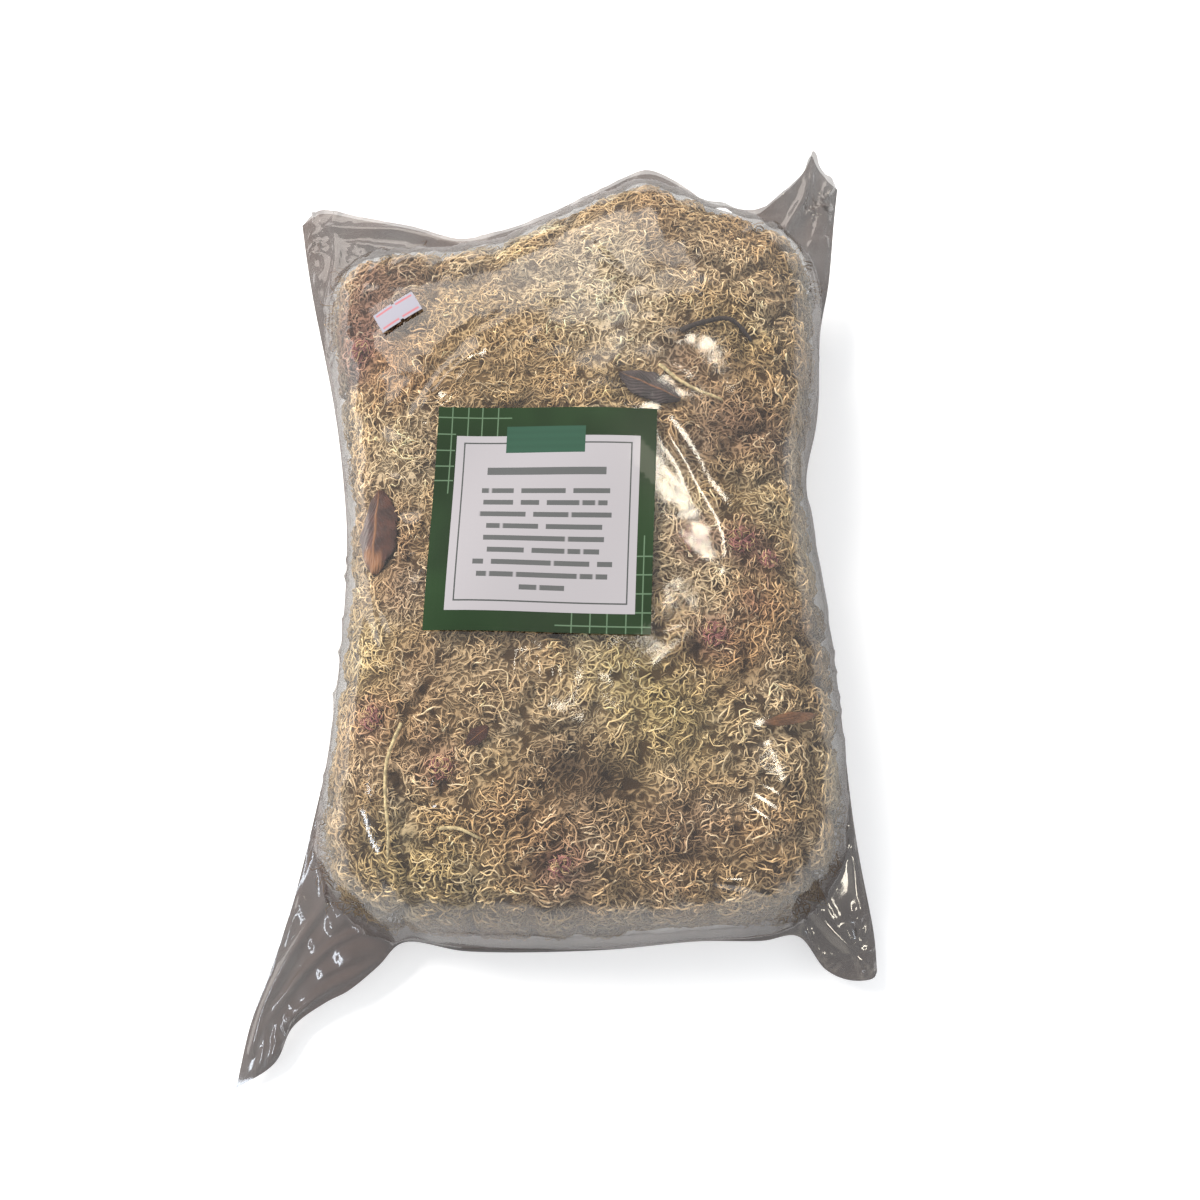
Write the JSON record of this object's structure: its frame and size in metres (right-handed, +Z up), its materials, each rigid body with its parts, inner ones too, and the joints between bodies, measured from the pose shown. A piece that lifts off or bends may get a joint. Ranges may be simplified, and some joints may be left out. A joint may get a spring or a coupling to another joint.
{
  "type": "bag of dried sphagnum moss",
  "caption": "Clear film pillow bag lying on its back, packed tight with tufts of dried straw-coloured sphagnum moss, with a square green and white paper label and a small price sticker.",
  "frame": {"origin": "on the surface that the bag lies on, under the middle of the outline of the film", "axes": "+Z up, through the thickness of the bag; +Y along the bag towards its mouth; +X across it, to the right seen from above"},
  "size_m": [0.323, 0.5139, 0.1006],
  "materials": {
    "film": "clear glossy film",
    "label_paper": "glossy printed paper, green with a white panel",
    "price_paper": "matte paper with pale red edges",
    "moss_straw": "dry, matte, curled strands",
    "moss_cream": "dry, matte, curled strands",
    "moss_brown": "dry, matte, curled strands",
    "moss_pink": "dry, matte heads of short pointed leaves",
    "dead_leaf": "dry leaf with a slight sheen",
    "orange_leaf": "dry leaf",
    "twig": "dry bark",
    "stalk": "dry plant stalk"
  },
  "bodies": {
    "root": {"bag": "film", "label": "label_paper", "price_sticker": "price_paper", "head_1": "moss_pink", "head_2": "moss_pink", "head_3": "moss_pink", "head_4": "moss_pink", "head_5": "moss_pink", "head_6": "moss_pink", "head_7": "moss_pink", "head_8": "moss_pink", "brown_leaf": "dead_leaf", "dark_leaf": "twig", "orange_leaf": "orange_leaf", "small_leaf": "dead_leaf", "dark_twig": "twig", "pale_stem": "stalk", "long_stalk": "stalk", "short_stalk": "stalk", "tuft_01": "moss_brown", "tuft_02": "moss_straw", "tuft_03": "moss_cream", "tuft_04": "moss_straw", "tuft_05": "moss_straw", "tuft_06": "moss_cream", "tuft_07": "moss_brown", "tuft_08": "moss_cream", "tuft_09": "moss_straw", "tuft_10": "moss_straw", "tuft_11": "moss_brown", "tuft_12": "moss_straw", "tuft_13": "moss_cream", "tuft_14": "moss_straw", "tuft_15": "moss_brown", "tuft_16": "moss_straw", "tuft_17": "moss_cream", "tuft_18": "moss_straw"}
  },
  "joints": []
}
